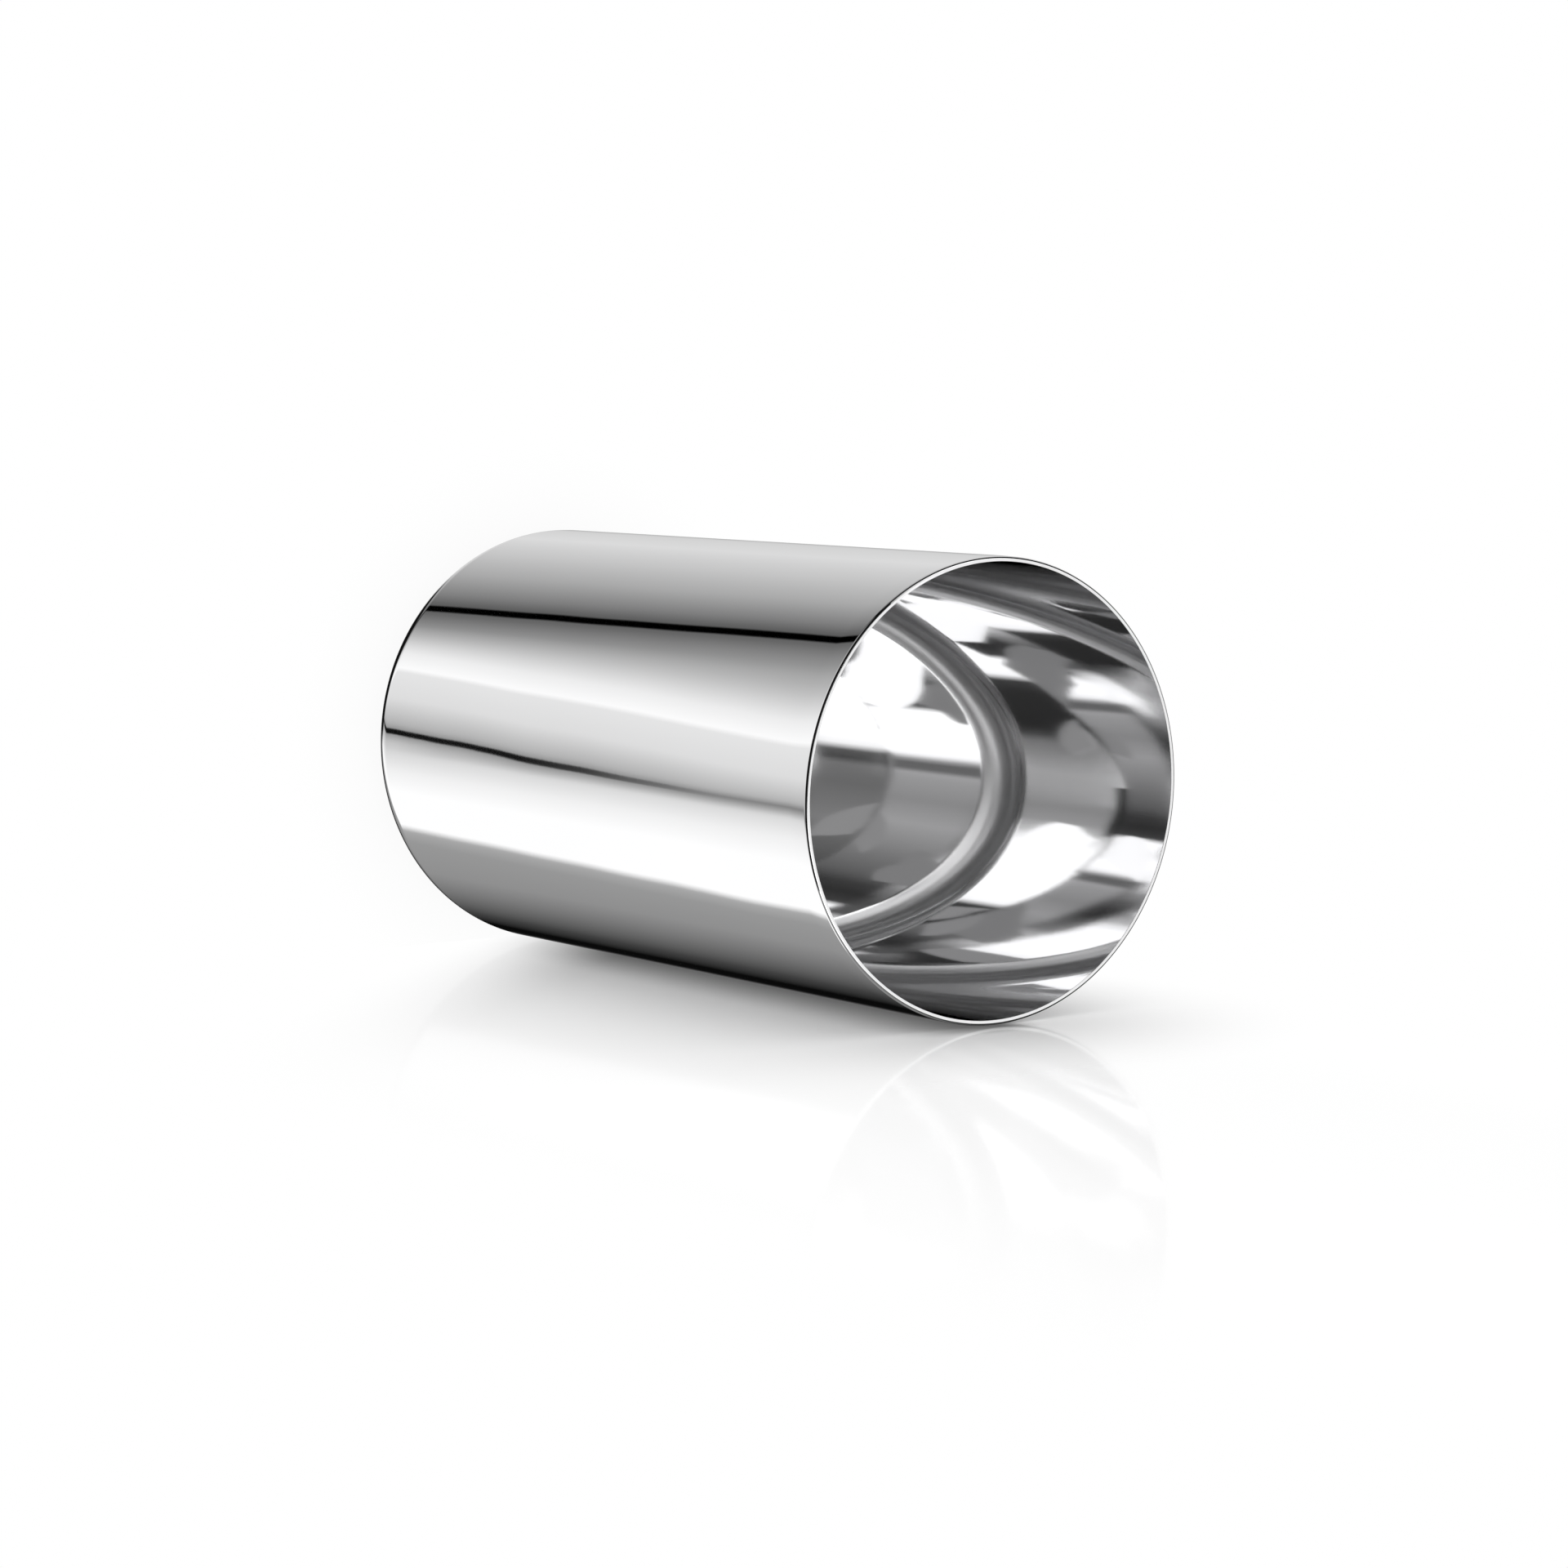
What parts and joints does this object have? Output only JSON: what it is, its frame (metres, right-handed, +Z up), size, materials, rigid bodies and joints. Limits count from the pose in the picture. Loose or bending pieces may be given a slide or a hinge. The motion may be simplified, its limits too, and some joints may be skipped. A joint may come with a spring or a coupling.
{
  "type": "deep drawn metal cup",
  "caption": "Deep drawn, mirror-polished sheet metal cup with a straight round wall, a closed flat base with a rounded corner, and a plain trimmed open mouth.",
  "frame": {"origin": "centre of the base's outside face, on the cup's axis", "axes": "+Z up the cup's axis, from the closed base to the open mouth; X and Y are any two crosswise directions, because the cup is round"},
  "size_m": [0.068, 0.068, 0.122],
  "materials": {
    "polished_steel": "polished"
  },
  "bodies": {
    "root": {"drawn_cup": "polished_steel"}
  },
  "joints": []
}
